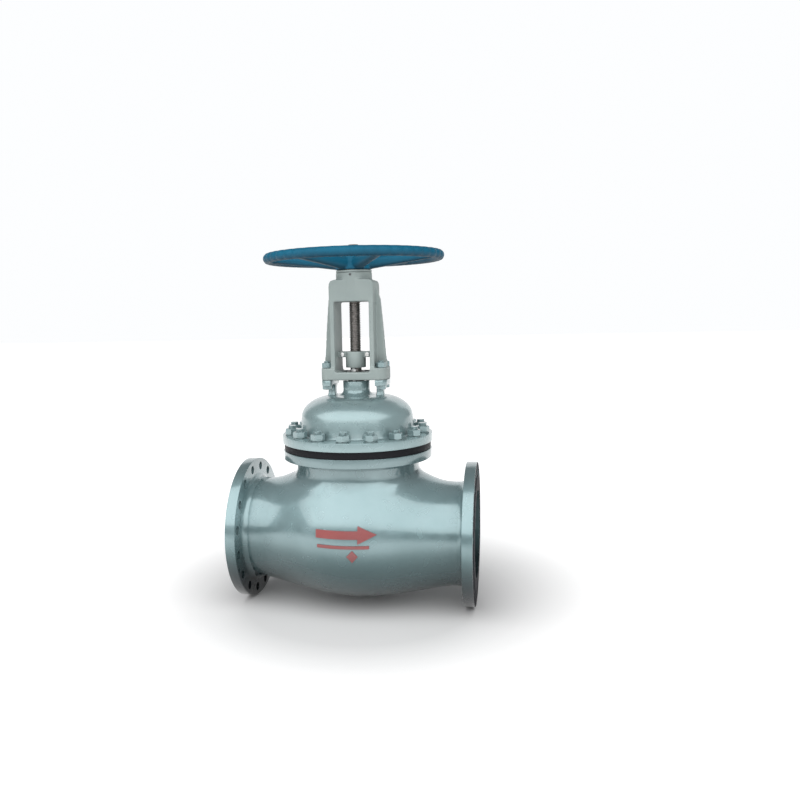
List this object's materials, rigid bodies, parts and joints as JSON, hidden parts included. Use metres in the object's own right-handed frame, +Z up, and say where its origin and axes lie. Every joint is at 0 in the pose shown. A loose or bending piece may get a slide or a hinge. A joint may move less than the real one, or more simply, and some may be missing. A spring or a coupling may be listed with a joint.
{
  "type": "globe valve",
  "caption": "Flanged globe valve with bolted bonnet, outside screw and yoke, rising stem with clamped guide, and a spoked handwheel, in grey-green enamel with a blue wheel",
  "frame": {"origin": "where the flow axis meets the stem axis, at the middle of the body", "axes": "+X along the flow, from the inlet to the outlet; +Y across the flow, away from the side with the raised flow mark; +Z up the stem, towards the handwheel"},
  "size_m": [1.1, 0.8052, 1.6406],
  "materials": {
    "body_paint": "gloss",
    "wheel_paint": "gloss",
    "gasket_black": "satin",
    "dark_steel": "satin",
    "turned_steel": "satin",
    "stainless": "satin",
    "bronze": "satin",
    "graphite": "matte",
    "zinc_plate": "satin"
  },
  "bodies": {
    "valve": {"valve_body": "body_paint", "seat_ring": "stainless", "bonnet_gasket": "gasket_black", "bonnet": "body_paint", "bonnet_stud_01": "body_paint", "bonnet_stud_02": "body_paint", "bonnet_stud_03": "body_paint", "bonnet_stud_04": "body_paint", "bonnet_stud_05": "body_paint", "bonnet_stud_06": "body_paint", "bonnet_stud_07": "body_paint", "bonnet_stud_08": "body_paint", "bonnet_stud_09": "body_paint", "bonnet_stud_10": "body_paint", "bonnet_stud_11": "body_paint", "bonnet_stud_12": "body_paint", "bonnet_stud_13": "body_paint", "bonnet_stud_14": "body_paint", "bonnet_stud_15": "body_paint", "bonnet_stud_16": "body_paint", "backseat_ring": "stainless", "packing_ring_1": "graphite", "packing_ring_2": "graphite", "packing_ring_3": "graphite", "packing_ring_4": "graphite", "gland_bush": "dark_steel", "gland_flange": "dark_steel", "gland_stud_front": "zinc_plate", "gland_stud_back": "zinc_plate", "gland_nut_front": "zinc_plate", "gland_nut_back": "zinc_plate", "yoke": "body_paint", "yoke_bolt_1": "body_paint", "yoke_bolt_2": "body_paint", "yoke_bolt_3": "body_paint", "yoke_bolt_4": "body_paint", "yoke_nut_1": "body_paint", "yoke_nut_2": "body_paint", "yoke_nut_3": "body_paint", "yoke_nut_4": "body_paint", "bearing_cover": "body_paint", "cover_set_screw": "dark_steel", "thrust_bearing_lower": "stainless", "thrust_bearing_upper": "stainless"},
    "wheel": {"stem_nut": "bronze", "handwheel": "wheel_paint", "handwheel_key": "turned_steel", "handwheel_nut": "zinc_plate"},
    "stem": {"stem": "dark_steel", "stem_guide_front": "body_paint", "stem_guide_back": "body_paint", "guide_bolt_1": "zinc_plate", "guide_bolt_2": "zinc_plate", "guide_nut_1": "zinc_plate", "guide_nut_2": "zinc_plate"},
    "disc": {"disc": "stainless", "disc_nut": "turned_steel"}
  },
  "joints": [
    {"name": "handwheel_spin", "type": "hinge", "parent": "valve", "child": "wheel", "pos_m": [0, 0, 1.2], "axis": [0, 0, 1], "range_deg": [0, 4950]},
    {"name": "stem_lift", "type": "slide", "parent": "valve", "child": "stem", "axis": [0, 0, 1], "range_m": [0, 0.1101]},
    {"name": "disc_swivel", "type": "hinge", "parent": "stem", "child": "disc", "pos_m": [0, 0, 0.05], "axis": [0, 0, 1], "continuous": true}
  ],
  "couplings": [
    {"joint": "stem_lift", "follows": "handwheel_spin", "m_per_rad": 0.0012732}
  ]
}
